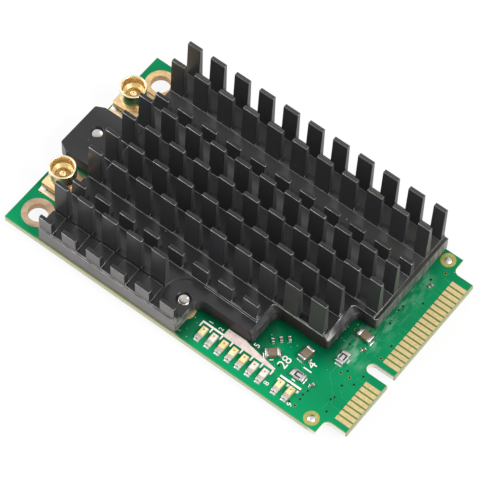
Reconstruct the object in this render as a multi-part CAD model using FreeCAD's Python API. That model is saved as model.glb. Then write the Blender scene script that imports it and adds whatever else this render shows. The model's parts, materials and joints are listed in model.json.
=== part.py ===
import FreeCAD, Part
import math
import os

# Mini PCIe radio card with a cross-cut fin heatsink, in millimetres.
# Origin: midway between the two mounting holes, on the board's underside.
# +X runs from the antenna end to the contact tongue, +Z is the component side.

# Board
board_length = 50.95
board_width = 30.0
board_thickness = 1.0
mounting_hole_inset = 2.9
mounting_hole_diameter = 2.6
mounting_pad_diameter = 4.2
tongue_width = 25.7
tongue_length = 3.05
tongue_corner_radius = 0.8
tongue_bevel_height = 0.15
tongue_bevel_length = 0.15
key_slot_y = -4.0
key_slot_width = 1.5
key_slot_depth = 3.5
tooling_hole_end_inset = 1.45
tooling_hole_inset = 1.15
tooling_hole_diameter = 1.0
tooling_pad_diameter = 2.0
plating = 0.04

# Edge contacts
contact_pitch = 0.8
contact_width = 0.65
contact_length = 2.2
contact_end_gap = 0.15
contact_key_near_gap = 1.8
contact_key_far_gap = 2.2
contacts_short_side = 8
contacts_long_side = 18

# Heatsink fins: rows lie along X, columns are sawn across them
fin_rows = 10
fin_columns = 11
fin_length = 2.2
fin_top_thickness = 0.55
fin_foot_thickness = 1.1
tall_fin_height = 8.6
short_fin_height = 4.95
front_fin_height = 4.8
short_rows = (2, 7)

# Heatsink base: heights are above its seat
heatsink_left_inset = 5.35
heatsink_end_gap = 2.6
heatsink_front_inset = 0.13
heatsink_back_overhang = 0.19
first_column_trim = 0.22
last_column_trim = 0.45
edge_ledge = 0.2
end_ledge = 0.5
end_ledge_drop = 0.25
base_height = 2.45
saw_height = 2.65
front_floor_height = 2.85
foot_relief_width = 0.18

# Stepped corner of the heatsink: each step ends past a fin column and starts in front of a fin row
nose_column = 6
nose_row = 7
nose_step_depth = 1.8
middle_column = 8
middle_row = 6
middle_step_depth = 0.13
far_column = 10
far_row = 4
far_step_depth = 0.75
step_margin = 0.3
step_slope_width = 0.6
step_slope_height = 0.8
step_slope_radius = 0.5
inside_corner_radius = 1.1
outside_corner_radius = 0.45
skirt_wall = 1.2
pocket_height = 1.3
recess_floor_height = 2.25
recess_radius = 2.75
tab_overhang = 0.4
tab_front_clearance = 0.9
tab_back_clearance = 1.9
tab_height = 2.55
tab_chamfer = 1.2
tab_corner_radius = 0.35

# Heatsink screws, driven from the underside
end_screw_inset = 2.2
end_screw_y = 0.35
front_screw_end_wall = 1.28
front_screw_front_wall = 3.37
screw_diameter = 1.6
thread_clearance = 0.02
screw_mouth_chamfer = 0.2
screw_board_clearance = 0.15
screw_head_diameter = 3.0
screw_head_height = 0.9
screw_head_dome = 0.3
screw_drive_length = 1.5
screw_drive_width = 0.38
screw_drive_depth = 0.5
screw_end_recess = 0.35
screw_end_chamfer = 0.2
screw_pad_diameter = 3.2
screw_boss_radius = 1.9

# Antenna jacks: heights are above the board, spacings are from the mounting holes towards the centre line
front_jack_inset = 2.75
front_jack_hole_spacing = 5.1
back_jack_inset = 2.15
back_jack_hole_spacing = 4.5
jack_flange_size = 3.9
jack_flange_thickness = 0.8
jack_leg_size = 0.9
jack_leg_height = 0.3
jack_neck_diameter = 3.0
jack_neck_height = 0.8
jack_cup_diameter = 3.5
jack_cup_height = 2.2
jack_mouth_diameter = 2.9
jack_mouth_depth = 1.3
jack_mouth_bevel = 0.12
jack_throat_diameter = 2.0
jack_cone_height = 0.5
jack_throat_depth = 0.45
jack_contact_diameter = 0.8
jack_contact_socket = 0.45
jack_contact_socket_depth = 1.2
jack_contact_recess = 1.5

# Indicator lamps along the front edge
lamp_pitch = 1.54
lamp_row_gap = 2.6
lamp_row_count = 7
lamp_pair_gap = 14.2
lamp_pair_count = 2
lamp_edge_inset = 2.0
lamp_length = 1.85
lamp_width = 0.85
lamp_base_height = 0.3
lamp_lens_length = 1.2
lamp_lens_height = 0.3
lamp_lens_taper = 0.06
lamp_front_terminal = 0.5
lamp_back_terminal = 0.25

# Chip capacitors and resistors in the open
capacitor_length = 1.9
capacitor_width = 1.05
capacitor_height = 0.75
resistor_length = 1.8
resistor_width = 1.0
resistor_height = 0.45
chip_terminal = 0.4
chip_terminal_lap = 0.03
resistor_coat = 0.06
resistor_coat_margin = 0.1
small_chip_length = 0.62
small_chip_width = 0.32
small_chip_height = 0.28
small_chip_terminal = 0.15

# Their places: x and y from the step's outside corner, then the turn in degrees
nose_capacitors = ((3.44, 0.4, 42.0), (6.66, 2.8, 82.0))
nose_resistors = ((7.64, -0.07, 0.0),)
nose_small_chips = ((2.34, 1.88, -45.0), (3.04, 2.63, -45.0), (3.79, 3.33, -45.0), (9.64, -0.07, 60.0))
end_capacitors = ((-0.33, -1.63, -4.0),)
end_resistors = ((-0.73, -5.58, 90.0),)
end_small_chips = ((0.52, -3.13, 60.0), (1.67, 8.97, 75.0))

# Parts under the heatsink
radio_chip_size = 9.0
radio_chip_height = 0.9
amplifier_size = 4.0
amplifier_height = 0.9
amplifier_inset = 7.15
filter_length = 2.0
filter_width = 1.25
filter_height = 0.95
filter_inset = 3.25
crystal_length = 3.2
crystal_width = 2.5
crystal_height = 0.75
crystal_lid_inset = 0.2
crystal_lid_height = 0.15
memory_length = 3.0
memory_width = 2.0
memory_height = 0.75
regulator_size = 3.0
regulator_height = 0.9
inductor_size = 3.6
inductor_height = 1.15
inductor_core_radius = 1.3
inductor_window_depth = 0.2
pocket_end_gap = 0.5
pocket_back_gap = 2.5
hidden_part_gap = 1.5
bypass_length = 1.0
bypass_width = 0.5
bypass_height = 0.5
bypass_gap = 0.8
bypass_pitch = 2.0
bypass_per_side = 4
package_corner_mark = 0.3
package_mark_depth = 0.06

# Places worked out from the sizes above
board_left = -mounting_hole_inset
board_right = board_left + board_length
shoulder_x = board_right - tongue_length
half_width = board_width / 2
board_top = board_thickness
mounting_hole_y = half_width - mounting_hole_inset
heatsink_seat = board_top + plating
heatsink_left = board_left + heatsink_left_inset
heatsink_right = shoulder_x - heatsink_end_gap
heatsink_front = heatsink_front_inset - half_width
heatsink_back = heatsink_back_overhang + half_width
fin_stop = heatsink_right - end_ledge
first_column = heatsink_left - first_column_trim
last_column = fin_stop + last_column_trim - fin_length
fin_column_pitch = (last_column - first_column) / (fin_columns - 1)
front_row_y = heatsink_front + edge_ledge + fin_top_thickness / 2
back_row_y = heatsink_back - edge_ledge - fin_top_thickness / 2
fin_row_pitch = (back_row_y - front_row_y) / (fin_rows - 1)
pocket_ceiling = heatsink_seat + pocket_height


def box(x0, y0, z0, x1, y1, z1):
    return Part.makeBox(x1 - x0, y1 - y0, z1 - z0, FreeCAD.Vector(x0, y0, z0))


def centred_box(x, y, z0, length, width, height):
    return box(x - length / 2, y - width / 2, z0, x + length / 2, y + width / 2, z0 + height)


def cylinder(x, y, z0, z1, radius):
    return Part.makeCylinder(radius, z1 - z0, FreeCAD.Vector(x, y, z0))


def rounded_wire(corners, z):
    """Closed outline of (x, y, radius) corners at a height, with an arc at each corner that has a radius."""
    count = len(corners)
    edges = []
    ends = []
    for i in range(count):
        point = FreeCAD.Vector(corners[i][0], corners[i][1], z)
        before = FreeCAD.Vector(corners[i - 1][0], corners[i - 1][1], z)
        after = FreeCAD.Vector(corners[(i + 1) % count][0], corners[(i + 1) % count][1], z)
        radius = corners[i][2]
        to_before = (before - point).normalize()
        to_after = (after - point).normalize()
        if radius == 0:
            ends.append((point, point))
            continue
        half_angle = to_before.getAngle(to_after) / 2
        setback = radius / math.tan(half_angle)
        start = point + to_before * setback
        end = point + to_after * setback
        inward = (to_before + to_after).normalize()
        middle = point + inward * (radius / math.sin(half_angle) - radius)
        edges.append(Part.Arc(start, middle, end).toShape())
        ends.append((start, end))
    for i in range(count):
        leave = ends[i - 1][1]
        arrive = ends[i][0]
        edges.append(Part.LineSegment(leave, arrive).toShape())
    return Part.Wire(Part.__sortEdges__(edges))


def rounded_prism(corners, z0, z1):
    return Part.Face(rounded_wire(corners, z0)).extrude(FreeCAD.Vector(0, 0, z1 - z0))


def placed(shape, x, y, z, turn=0.0):
    """A copy of a shape made about the origin, turned about Z and moved to its place."""
    copy = shape.copy()
    rotation = FreeCAD.Rotation(FreeCAD.Vector(0, 0, 1), turn)
    copy.Placement = FreeCAD.Placement(FreeCAD.Vector(x, y, z), rotation)
    return copy


def revolved(points):
    """Solid of revolution about Z of a closed outline of (radius, height) points."""
    vectors = [FreeCAD.Vector(r, 0, z) for r, z in points]
    face = Part.Face(Part.makePolygon(vectors + vectors[:1]))
    return face.revolve(FreeCAD.Vector(0, 0, 0), FreeCAD.Vector(0, 0, 1), 360)


def row_y(row):
    """Centre of a fin row, counted from nought at the back edge."""
    return back_row_y - fin_row_pitch * row


def row_foot(row):
    """Front foot of a fin row."""
    return row_y(row) - fin_foot_thickness / 2


def column_end(column):
    """Far end of a fin column, counted from one at the antenna end."""
    return first_column + (column - 1) * fin_column_pitch + fin_length


# Corners of the heatsink's steps, and the places that follow from them
nose_end = column_end(nose_column) + step_margin
nose_y = row_foot(nose_row) - nose_step_depth
middle_end = column_end(middle_column) + step_margin
middle_y = row_foot(middle_row) - middle_step_depth
far_end = column_end(far_column) + step_margin
far_y = row_foot(far_row) - far_step_depth
screw_places = (
    (board_left + end_screw_inset, end_screw_y),
    (nose_end - front_screw_end_wall, heatsink_front + front_screw_front_wall),
)
jack_places = (
    (board_left + front_jack_inset, front_jack_hole_spacing - mounting_hole_y),
    (board_left + back_jack_inset, mounting_hole_y - back_jack_hole_spacing),
)
pocket_left = heatsink_left + skirt_wall
pocket_end = far_end - skirt_wall
pocket_back = heatsink_back - skirt_wall
pocket_shelf_y = screw_places[1][1] + recess_radius + skirt_wall


def save(name, shapes):
    """Write one node. Identical pieces come as a list and share the node as separate solids."""
    shape = Part.makeCompound(shapes) if isinstance(shapes, list) else shapes
    shape.exportStep("parts/%s.step" % name)


# Board and its plating


def mounting_hole_places():
    return [(0.0, side * mounting_hole_y) for side in (-1, 1)]


def tooling_hole_places():
    x = shoulder_x - tooling_hole_end_inset
    y = half_width - tooling_hole_inset
    return [(x, side * y) for side in (-1, 1)]


def plated_hole(x, y, diameter, pad_diameter):
    """Plating of one hole: a barrel through the board with a round pad on each face."""
    pads = cylinder(x, y, -plating, 0, pad_diameter / 2)
    pads = pads.fuse(cylinder(x, y, board_top, board_top + plating, pad_diameter / 2))
    barrel = cylinder(x, y, 0, board_top, diameter / 2 + plating)
    hole = cylinder(x, y, -2 * plating, board_top + 2 * plating, diameter / 2)
    return pads.fuse(barrel).cut(hole).removeSplitter()


def screw_clearance_diameter():
    return screw_diameter + 2 * screw_board_clearance


def circuit_board():
    half_tongue = tongue_width / 2
    outline = (
        (board_left, -half_width, 0),
        (shoulder_x, -half_width, 0),
        (shoulder_x, -half_tongue, tongue_corner_radius),
        (board_right, -half_tongue, 0),
        (board_right, half_tongue, 0),
        (shoulder_x, half_tongue, tongue_corner_radius),
        (shoulder_x, half_width, 0),
        (board_left, half_width, 0),
    )
    board = rounded_prism(outline, 0, board_top)
    slot_radius = key_slot_width / 2
    slot_end = board_right - key_slot_depth + slot_radius
    cuts = [
        cylinder(slot_end, key_slot_y, 0, board_top, slot_radius),
        box(slot_end, key_slot_y - slot_radius, 0, board_right, key_slot_y + slot_radius, board_top),
    ]
    holes = [(place, mounting_hole_diameter) for place in mounting_hole_places()]
    holes += [(place, tooling_hole_diameter) for place in tooling_hole_places()]
    holes += [(place, screw_clearance_diameter()) for place in screw_places]
    for (x, y), diameter in holes:
        cuts.append(cylinder(x, y, 0, board_top, diameter / 2 + plating))
    for edge_z, inner_z in ((board_top, board_top - tongue_bevel_height), (0, tongue_bevel_height)):
        section = [
            FreeCAD.Vector(board_right - tongue_bevel_length, -half_width, edge_z),
            FreeCAD.Vector(board_right, -half_width, edge_z),
            FreeCAD.Vector(board_right, -half_width, inner_z),
        ]
        face = Part.Face(Part.makePolygon(section + section[:1]))
        cuts.append(face.extrude(FreeCAD.Vector(0, board_width, 0)))
    return board.cut(cuts)


def edge_contacts(z0, short_side_gap, long_side_gap):
    """One face's row of contacts: a short and a long group, set off from the key slot."""
    places = [key_slot_y - short_side_gap - contact_pitch * i for i in range(contacts_short_side)]
    places += [key_slot_y + long_side_gap + contact_pitch * i for i in range(contacts_long_side)]
    x1 = board_right - contact_end_gap
    x0 = x1 - contact_length
    return [
        box(x0, y - contact_width / 2, z0, x1, y + contact_width / 2, z0 + plating) for y in places
    ]


# Heatsink


def row_height(row):
    if row == fin_rows - 1:
        return front_fin_height
    return short_fin_height if row in short_rows else tall_fin_height


def fin_profile():
    """Extrusion section in the YZ plane: base, floor levels and tapered fins, from front to back."""
    last = fin_rows - 1
    half_top = fin_top_thickness / 2
    half_foot = fin_foot_thickness / 2
    points = [(heatsink_front, 0.0), (heatsink_front, base_height)]
    for row in range(last, -1, -1):
        y = row_y(row)
        front_half = half_top if row == last else half_foot
        back_half = half_top if row == 0 else half_foot
        front_level = base_height
        back_level = base_height
        if row == last:
            back_level = front_floor_height
        if row == last - 1:
            relief_end = y - front_half - foot_relief_width
            points.append((relief_end, front_floor_height))
            points.append((relief_end, base_height))
        points.append((y - front_half, front_level))
        points.append((y - half_top, row_height(row)))
        points.append((y + half_top, row_height(row)))
        points.append((y + back_half, back_level))
    points.append((heatsink_back, base_height))
    points.append((heatsink_back, 0.0))
    return [FreeCAD.Vector(heatsink_left, y, heatsink_seat + z) for y, z in points]


def heatsink_outline(foot, inside):
    """Plan outline without the tab, with the end walls of its two far steps moved out by a foot."""
    outside = outside_corner_radius
    middle_wall = middle_end + foot
    far_wall = far_end + foot
    return (
        (heatsink_left, heatsink_front, 0),
        (nose_end, heatsink_front, 0),
        (nose_end, nose_y, inside_corner_radius),
        (middle_wall, nose_y, outside),
        (middle_wall, middle_y, inside),
        (far_wall, middle_y, outside),
        (far_wall, far_y, inside),
        (heatsink_right, far_y, outside),
        (heatsink_right, heatsink_back, 0),
        (heatsink_left, heatsink_back, 0),
    )


def stepped_block():
    """Block over the outline: the end walls of the far steps slope out below the floor, then drop."""
    slope_top = heatsink_seat + base_height
    slope_foot = slope_top - step_slope_height
    wide = heatsink_outline(step_slope_width, inside_corner_radius)
    narrow = heatsink_outline(0.0, step_slope_radius)
    lower = rounded_prism(wide, heatsink_seat, slope_foot)
    slope = Part.makeLoft([rounded_wire(wide, slope_foot), rounded_wire(narrow, slope_top)], True, True)
    upper = rounded_prism(narrow, slope_top, heatsink_seat + tall_fin_height)
    return lower.fuse([slope, upper])


def saw_cuts():
    """Gaps between the fin columns, sawn across all rows."""
    top = heatsink_seat + tall_fin_height
    cuts = []
    for column in range(1, fin_columns):
        x0 = column_end(column)
        x1 = x0 + fin_column_pitch - fin_length
        cuts.append(box(x0, heatsink_front, heatsink_seat + saw_height, x1, heatsink_back, top))
    return cuts


def heatsink_tab():
    """Screw tab that reaches past the antenna end of the board, with cut front and back corners."""
    x0 = board_left - tab_overhang
    x1 = heatsink_left + skirt_wall
    y0 = jack_places[0][1] + jack_flange_size / 2 + tab_front_clearance
    y1 = jack_places[1][1] - jack_flange_size / 2 - tab_back_clearance
    radius = tab_corner_radius
    outline = (
        (x0 + tab_chamfer, y0, radius),
        (x1, y0, 0),
        (x1, y1, 0),
        (x0 + tab_chamfer, y1, radius),
        (x0, y1 - tab_chamfer / 2, radius),
        (x0, y0 + tab_chamfer / 2, radius),
    )
    return rounded_prism(outline, heatsink_seat, heatsink_seat + tab_height)


def heatsink_pocket():
    """Milled pocket over the chips, one wall in from the outline, clear of the front screw's boss."""
    x, y = screw_places[1]
    boss = cylinder(x, y, heatsink_seat, pocket_ceiling, screw_boss_radius)
    front_end = x - screw_boss_radius
    radius = inside_corner_radius
    outline = (
        (pocket_left, heatsink_front + skirt_wall, radius),
        (front_end, heatsink_front + skirt_wall, radius),
        (front_end, pocket_shelf_y, 0),
        (middle_end - skirt_wall, pocket_shelf_y, radius),
        (middle_end - skirt_wall, middle_y + skirt_wall, 0),
        (pocket_end, middle_y + skirt_wall, radius),
        (pocket_end, pocket_back, radius),
        (pocket_left, pocket_back, radius),
    )
    return rounded_prism(outline, heatsink_seat, pocket_ceiling).cut(boss)


def screw_recess():
    """Round flat milled round the front screw, run out along the step beside it."""
    x, y = screw_places[1]
    z0 = heatsink_seat + recess_floor_height
    z1 = heatsink_seat + tall_fin_height
    behind_front_fins = row_y(fin_rows - 1) + fin_foot_thickness / 2
    round_part = cylinder(x, y, z0, z1, recess_radius)
    run_out = box(x, y, z0, middle_end + step_margin, y + recess_radius, z1)
    keep = box(x - recess_radius, behind_front_fins, z0, heatsink_right, heatsink_back, z1)
    return round_part.fuse(run_out).common(keep)


def heatsink():
    profile = fin_profile()
    section = Part.Face(Part.makePolygon(profile + profile[:1]))
    bar = section.extrude(FreeCAD.Vector(heatsink_right - heatsink_left, 0, 0))
    body = bar.common(stepped_block()).cut(saw_cuts())
    ledge_z = heatsink_seat + base_height - end_ledge_drop
    top = heatsink_seat + tall_fin_height
    ledge = box(fin_stop, heatsink_front, ledge_z, heatsink_right, heatsink_back, top)
    cuts = [ledge, heatsink_pocket(), screw_recess()]
    hole_radius = screw_diameter / 2 + thread_clearance
    for x, y in screw_places:
        cuts.append(cylinder(x, y, heatsink_seat, top, hole_radius))
    x, y = screw_places[1]
    mouth_z = heatsink_seat + recess_floor_height
    mouth = Part.makeCone(
        hole_radius, hole_radius + screw_mouth_chamfer, screw_mouth_chamfer,
        FreeCAD.Vector(x, y, mouth_z - screw_mouth_chamfer))
    cuts.append(mouth)
    return body.fuse(heatsink_tab()).cut(cuts).removeSplitter()


def heatsink_screw():
    """Pan-head machine screw with a cross drive, head down, its seat at the origin."""
    head_radius = screw_head_diameter / 2
    shank = screw_diameter / 2
    length = plating + heatsink_seat + recess_floor_height - screw_end_recess
    shoulder = screw_head_height - screw_head_dome
    rim = head_radius - screw_head_dome
    profile = [
        (0, -screw_head_height),
        (rim, -screw_head_height),
        (head_radius, -shoulder),
        (head_radius, 0),
        (shank, 0),
        (shank, length - screw_end_chamfer),
        (shank - screw_end_chamfer, length),
        (0, length),
    ]
    screw = revolved(profile)
    drive_z = -screw_head_height
    slot = centred_box(0, 0, drive_z, screw_drive_length, screw_drive_width, screw_drive_depth)
    cross = centred_box(0, 0, drive_z, screw_drive_width, screw_drive_length, screw_drive_depth)
    return screw.cut([slot, cross])


# Antenna jacks


def jack_levels():
    """Heights of the jack's flange, neck, cup and throat above the board."""
    flange_top = jack_leg_height + jack_flange_thickness
    neck_top = flange_top + jack_neck_height
    cup_top = neck_top + jack_cup_height
    cone_top = cup_top - jack_mouth_depth
    throat_top = cone_top - jack_cone_height
    insulator_top = throat_top - jack_throat_depth
    return flange_top, neck_top, cup_top, cone_top, throat_top, insulator_top


def jack_shell():
    flange_top, neck_top, cup_top, cone_top, throat_top, insulator_top = jack_levels()
    size = jack_flange_size
    flange = centred_box(0, 0, jack_leg_height, size, size, jack_flange_thickness)
    leg_center = (size - jack_leg_size) / 2
    for x in (-leg_center, leg_center):
        for y in (-leg_center, leg_center):
            flange = flange.fuse(centred_box(x, y, 0, jack_leg_size, jack_leg_size, jack_leg_height))
    neck = jack_neck_diameter / 2
    cup = jack_cup_diameter / 2
    mouth = jack_mouth_diameter / 2
    throat = jack_throat_diameter / 2
    barrel = revolved([
        (throat, jack_leg_height),
        (neck, jack_leg_height),
        (neck, neck_top),
        (cup, neck_top + (cup - neck)),
        (cup, cup_top - jack_mouth_bevel),
        (cup - jack_mouth_bevel, cup_top),
        (mouth + jack_mouth_bevel, cup_top),
        (mouth, cup_top - jack_mouth_bevel),
        (mouth, cone_top),
        (throat, throat_top),
    ])
    bore = cylinder(0, 0, 0, flange_top, throat)
    return flange.cut(bore).fuse(barrel).removeSplitter()


def jack_insulator():
    insulator_top = jack_levels()[-1]
    outer = jack_throat_diameter / 2
    inner = jack_contact_diameter / 2
    return revolved([
        (inner, jack_leg_height),
        (outer, jack_leg_height),
        (outer, insulator_top),
        (inner, insulator_top),
    ])


def jack_contact():
    top = jack_levels()[2] - jack_contact_recess
    radius = jack_contact_diameter / 2
    socket = jack_contact_socket / 2
    return revolved([
        (0, 0),
        (radius, 0),
        (radius, top),
        (socket, top),
        (socket, top - jack_contact_socket_depth),
        (0, top - jack_contact_socket_depth),
    ])


def save_jacks():
    names = ("front", "back")
    for name, (x, y) in zip(names, jack_places):
        save("antenna_jack_%s_shell" % name, placed(jack_shell(), x, y, board_top))
        save("antenna_jack_%s_insulator" % name, placed(jack_insulator(), x, y, board_top))
        save("antenna_jack_%s_contact" % name, placed(jack_contact(), x, y, board_top))


# Indicator lamps


def lamp_places():
    row = [lamp_row_gap + lamp_pitch * i for i in range(lamp_row_count)]
    pair = [lamp_pair_gap + lamp_pitch * i for i in range(lamp_pair_count)]
    return [nose_end + x for x in row + pair]


lamp_y = lamp_edge_inset - half_width


def lamp_base(x):
    y0 = lamp_y - lamp_length / 2 + lamp_front_terminal
    y1 = lamp_y + lamp_length / 2 - lamp_back_terminal
    half = lamp_width / 2
    return box(x - half, y0, board_top, x + half, y1, board_top + lamp_base_height)


def lamp_terminals(x):
    half = lamp_width / 2
    z1 = board_top + lamp_base_height
    front = lamp_y - lamp_length / 2
    back = lamp_y + lamp_length / 2
    return [
        box(x - half, front, board_top, x + half, front + lamp_front_terminal, z1),
        box(x - half, back - lamp_back_terminal, board_top, x + half, back, z1),
    ]


def lamp_lens(x):
    """Clear block on the base with sides that lean in."""
    y1 = lamp_y + lamp_length / 2
    y0 = y1 - lamp_lens_length
    z0 = board_top + lamp_base_height
    half = lamp_width / 2
    wires = []
    for lean, z in ((0, z0), (lamp_lens_taper, z0 + lamp_lens_height)):
        corners = [
            FreeCAD.Vector(x - half + lean, y0 + lean, z),
            FreeCAD.Vector(x + half - lean, y0 + lean, z),
            FreeCAD.Vector(x + half - lean, y1 - lean, z),
            FreeCAD.Vector(x - half + lean, y1 - lean, z),
        ]
        wires.append(Part.makePolygon(corners + corners[:1]))
    return Part.makeLoft(wires, True, True)


# Chip capacitors and resistors


def chip_terminals(length, width, height, terminal):
    """End caps of a chip part at the origin, a little larger than its body all round."""
    lap = chip_terminal_lap
    half = length / 2
    y = width / 2 + lap
    z = height + 2 * lap
    return [box(-half, -y, 0, terminal - half, y, z), box(half - terminal, -y, 0, half, y, z)]


def chip_body(length, width, height, terminal):
    return centred_box(0, 0, chip_terminal_lap, length - 2 * terminal, width, height)


def at_places(shapes, nose_places, end_places):
    """Copies of some shapes beside the nose's step and beside the heatsink's far end."""
    places = [(middle_end + x, nose_y + y, turn) for x, y, turn in nose_places]
    places += [(heatsink_right + x, far_y + y, turn) for x, y, turn in end_places]
    return [placed(shape, x, y, board_top, turn) for x, y, turn in places for shape in shapes]


def save_open_chips():
    capacitor = (capacitor_length, capacitor_width, capacitor_height, chip_terminal)
    save("capacitor_bodies", at_places([chip_body(*capacitor)], nose_capacitors, end_capacitors))
    save("capacitor_terminals", at_places(chip_terminals(*capacitor), nose_capacitors, end_capacitors))
    resistor = (resistor_length, resistor_width, resistor_height, chip_terminal)
    save("resistor_bodies", at_places([chip_body(*resistor)], nose_resistors, end_resistors))
    save("resistor_terminals", at_places(chip_terminals(*resistor), nose_resistors, end_resistors))
    coat_width = resistor_width - 2 * resistor_coat_margin
    coat_length = resistor_length - 2 * chip_terminal
    coat_z = chip_terminal_lap + resistor_height
    coat = centred_box(0, 0, coat_z, coat_length, coat_width, resistor_coat)
    save("resistor_coats", at_places([coat], nose_resistors, end_resistors))
    small = (small_chip_length, small_chip_width, small_chip_height, small_chip_terminal)
    save("small_chip_bodies", at_places([chip_body(*small)], nose_small_chips, end_small_chips))
    save("small_chip_terminals", at_places(chip_terminals(*small), nose_small_chips, end_small_chips))


# Parts under the heatsink


def chip_package(x, y, length, width, height):
    """Flat moulded package on the board, with a round mark sunk at the first corner."""
    body = centred_box(x, y, board_top, length, width, height)
    mark_x = x - length / 2 + 2 * package_corner_mark
    mark_y = y - width / 2 + 2 * package_corner_mark
    top = board_top + height
    return body.cut(cylinder(mark_x, mark_y, top - package_mark_depth, top, package_corner_mark))


def thermal_pad(x, y, size, chip_height):
    """Soft pad that fills the gap from a chip's top to the pocket's ceiling."""
    z0 = board_top + chip_height
    return centred_box(x, y, z0, size, size, pocket_ceiling - z0)


def crystal(x, y):
    base = centred_box(x, y, board_top, crystal_length, crystal_width, crystal_height)
    lid_length = crystal_length - 2 * crystal_lid_inset
    lid_width = crystal_width - 2 * crystal_lid_inset
    lid_z = board_top + crystal_height
    return base.fuse(centred_box(x, y, lid_z, lid_length, lid_width, crystal_lid_height))


def power_inductor(x, y):
    """Square shielded inductor with a round sunk window over its core."""
    top = board_top + inductor_height
    body = centred_box(x, y, board_top, inductor_size, inductor_size, inductor_height)
    return body.cut(cylinder(x, y, top - inductor_window_depth, top, inductor_core_radius))


def bypass_capacitors(x, y):
    """Small capacitors in a row along each side of the radio chip."""
    offset = radio_chip_size / 2 + bypass_gap
    row = (bypass_per_side - 1) * bypass_pitch
    along = [bypass_pitch * i - row / 2 for i in range(bypass_per_side)]
    size = (bypass_length, bypass_width, bypass_height)
    pieces = []
    for side in (-offset, offset):
        for step in along:
            pieces.append(centred_box(x + step, y + side, board_top, *size))
            upright = placed(centred_box(0, 0, 0, *size), x + side, y + step, board_top, 90)
            pieces.append(upright)
    return pieces


def save_hidden_parts():
    radio_x = (pocket_left + pocket_end) / 2
    radio_y = (pocket_shelf_y + pocket_back) / 2
    save("radio_chip", chip_package(
        radio_x, radio_y, radio_chip_size, radio_chip_size, radio_chip_height))
    save("radio_thermal_pad", thermal_pad(radio_x, radio_y, radio_chip_size, radio_chip_height))
    save("bypass_capacitors", bypass_capacitors(radio_x, radio_y))
    amplifiers = []
    pads = []
    filters = []
    for jack_x, jack_y in jack_places:
        x = heatsink_left + amplifier_inset
        amplifiers.append(chip_package(x, jack_y, amplifier_size, amplifier_size, amplifier_height))
        pads.append(thermal_pad(x, jack_y, amplifier_size, amplifier_height))
        size = (filter_length, filter_width, filter_height)
        filters.append(centred_box(heatsink_left + filter_inset, jack_y, board_top, *size))
    save("amplifier_chips", amplifiers)
    save("amplifier_thermal_pads", pads)
    save("antenna_filters", filters)
    beside_radio = radio_x + radio_chip_size / 2 + bypass_gap + hidden_part_gap
    back_line = pocket_back - pocket_back_gap
    save("crystal", crystal(beside_radio + crystal_length / 2, back_line - crystal_width / 2))
    memory_y = radio_y - radio_chip_size / 2 + memory_width / 2
    save("memory_chip", chip_package(
        beside_radio + memory_length / 2, memory_y, memory_length, memory_width, memory_height))
    power_end = pocket_end - pocket_end_gap
    save("power_inductor", power_inductor(
        power_end - inductor_size / 2, back_line - inductor_size / 2))
    regulator_y = back_line - inductor_size - hidden_part_gap - regulator_size / 2
    save("regulator_chip", chip_package(
        power_end - regulator_size / 2, regulator_y, regulator_size, regulator_size,
        regulator_height))


def save_board():
    save("circuit_board", circuit_board())
    save("edge_contacts_top", edge_contacts(board_top, contact_key_far_gap, contact_key_near_gap))
    save("edge_contacts_bottom", edge_contacts(-plating, contact_key_near_gap, contact_key_far_gap))
    save("mounting_hole_plating", [
        plated_hole(x, y, mounting_hole_diameter, mounting_pad_diameter)
        for x, y in mounting_hole_places()
    ])
    save("tooling_hole_plating", [
        plated_hole(x, y, tooling_hole_diameter, tooling_pad_diameter)
        for x, y in tooling_hole_places()
    ])
    save("screw_hole_plating", [
        plated_hole(x, y, screw_clearance_diameter(), screw_pad_diameter) for x, y in screw_places
    ])


def save_lamps():
    places = lamp_places()
    save("lamp_bases", [lamp_base(x) for x in places])
    save("lamp_lenses", [lamp_lens(x) for x in places])
    save("lamp_terminals", [terminal for x in places for terminal in lamp_terminals(x)])


os.makedirs("parts", exist_ok=True)
save_board()
save("heatsink", heatsink())
save("heatsink_screws", [placed(heatsink_screw(), x, y, -plating) for x, y in screw_places])
save_jacks()
save_lamps()
save_open_chips()
save_hidden_parts()
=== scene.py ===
import json
import math
from collections import namedtuple
import bmesh
import bpy
from mathutils import Matrix, Vector


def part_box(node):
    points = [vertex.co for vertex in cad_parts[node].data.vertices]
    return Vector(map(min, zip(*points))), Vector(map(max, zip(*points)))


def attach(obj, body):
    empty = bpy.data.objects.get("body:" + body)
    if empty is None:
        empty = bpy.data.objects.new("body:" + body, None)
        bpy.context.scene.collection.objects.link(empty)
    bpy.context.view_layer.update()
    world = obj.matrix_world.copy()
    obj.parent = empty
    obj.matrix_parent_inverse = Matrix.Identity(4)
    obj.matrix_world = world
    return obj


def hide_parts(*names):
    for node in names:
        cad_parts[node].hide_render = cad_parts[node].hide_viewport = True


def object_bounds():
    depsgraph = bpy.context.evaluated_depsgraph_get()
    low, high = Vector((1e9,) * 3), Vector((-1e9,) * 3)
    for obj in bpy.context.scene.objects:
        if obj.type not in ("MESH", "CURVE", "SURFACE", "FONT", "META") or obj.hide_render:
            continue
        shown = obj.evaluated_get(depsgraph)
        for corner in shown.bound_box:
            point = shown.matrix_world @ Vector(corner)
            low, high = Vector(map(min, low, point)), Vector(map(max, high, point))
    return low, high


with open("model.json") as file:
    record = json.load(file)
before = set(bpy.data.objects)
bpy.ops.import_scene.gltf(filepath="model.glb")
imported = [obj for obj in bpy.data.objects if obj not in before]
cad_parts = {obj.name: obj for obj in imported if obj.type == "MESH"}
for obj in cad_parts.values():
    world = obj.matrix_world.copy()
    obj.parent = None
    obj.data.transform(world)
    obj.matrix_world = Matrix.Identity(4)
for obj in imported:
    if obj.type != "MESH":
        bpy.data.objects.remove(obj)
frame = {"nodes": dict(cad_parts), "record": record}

cad_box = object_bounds()
nodes = frame["nodes"]
MM = 0.001

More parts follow.
